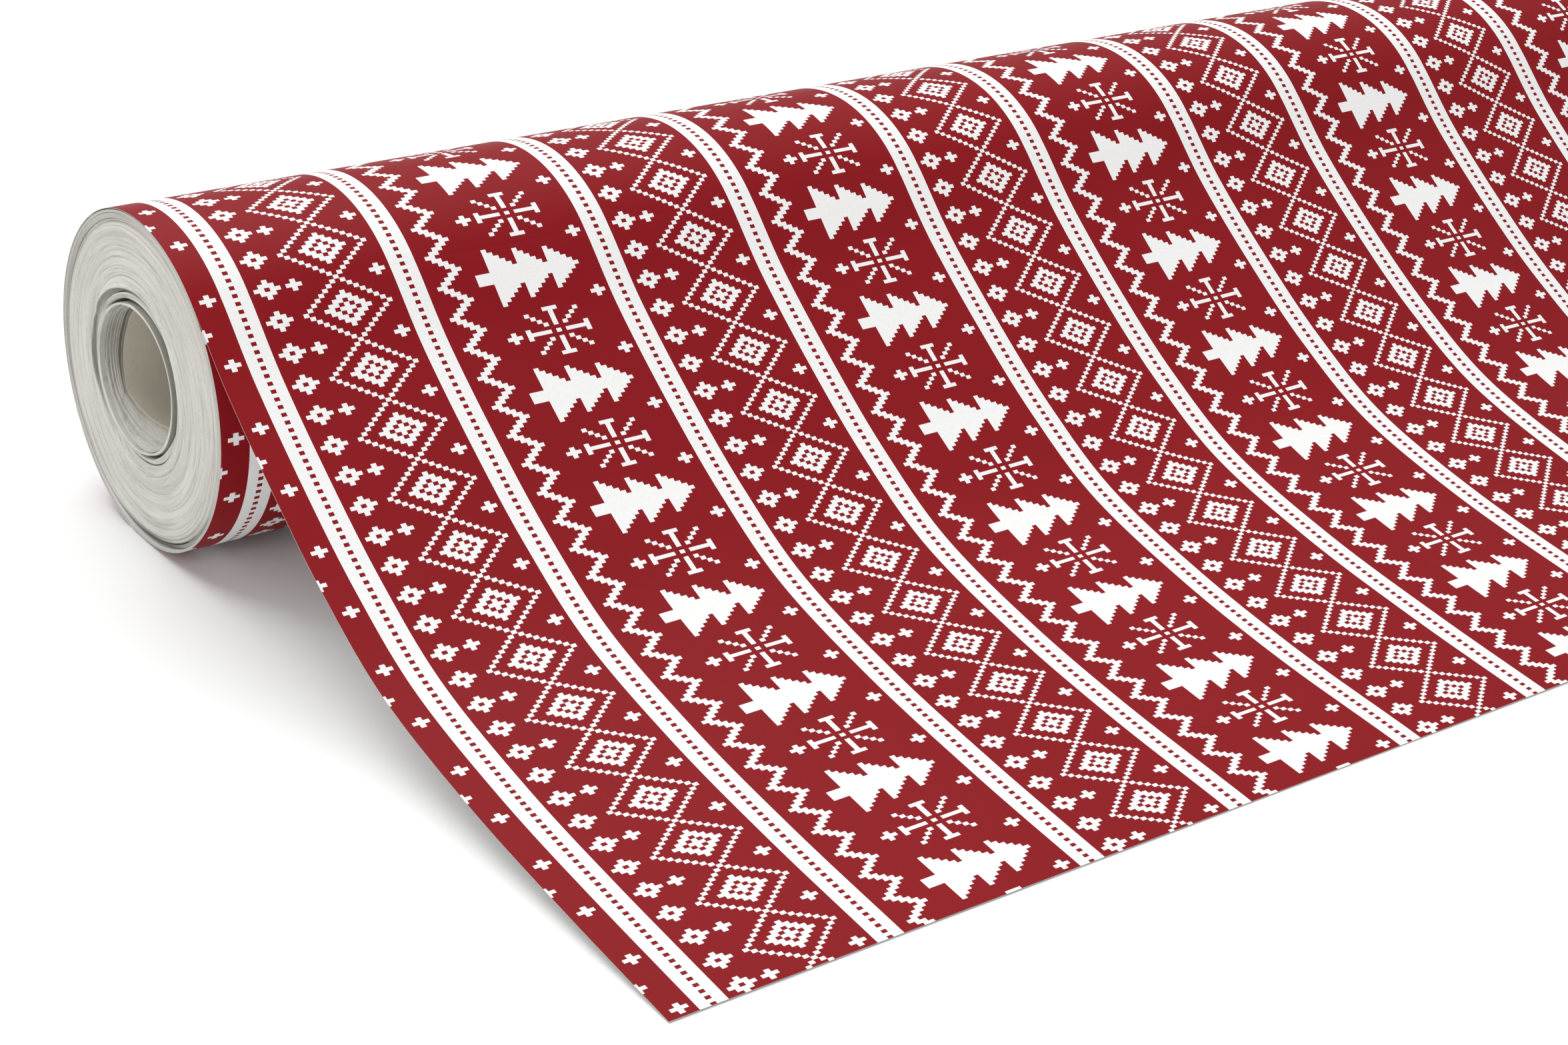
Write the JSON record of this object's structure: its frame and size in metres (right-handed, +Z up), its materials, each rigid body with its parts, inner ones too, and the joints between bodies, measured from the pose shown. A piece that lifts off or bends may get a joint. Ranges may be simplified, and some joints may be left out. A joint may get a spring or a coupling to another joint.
{
  "type": "wrapping paper roll",
  "caption": "Roll of printed gift wrapping paper on a board core, lying on its side with its loose end drawn out as a sheet.",
  "frame": {"origin": "middle of the object's footprint, on the surface it rests on", "axes": "+X along the roll from the end with the turns that stand proud to the other end, -Y the way the sheet is drawn out, +Z up"},
  "size_m": [0.7022, 0.287, 0.0899],
  "materials": {
    "core_board": "matt grey board",
    "paper_edge": "matt cut edges of white paper",
    "printed_paper": "smooth red and white printed paper with a slight sheen"
  },
  "bodies": {
    "sheet": {"last_turn": "printed_paper", "unrolled_sheet": "printed_paper"},
    "roll": {"core_tube": "core_board", "start_turns": "paper_edge", "inner_lip_turns": "paper_edge", "outer_lip_turns": "paper_edge", "main_turns": "paper_edge", "loose_outer_turns": "paper_edge", "printed_outer_turn": "printed_paper"}
  },
  "joints": [
    {"name": "roll_spin", "type": "hinge", "parent": "sheet", "child": "roll", "pos_m": [0.0002, 0.09855, 0.04495], "axis": [1, 0, 0], "continuous": true}
  ]
}
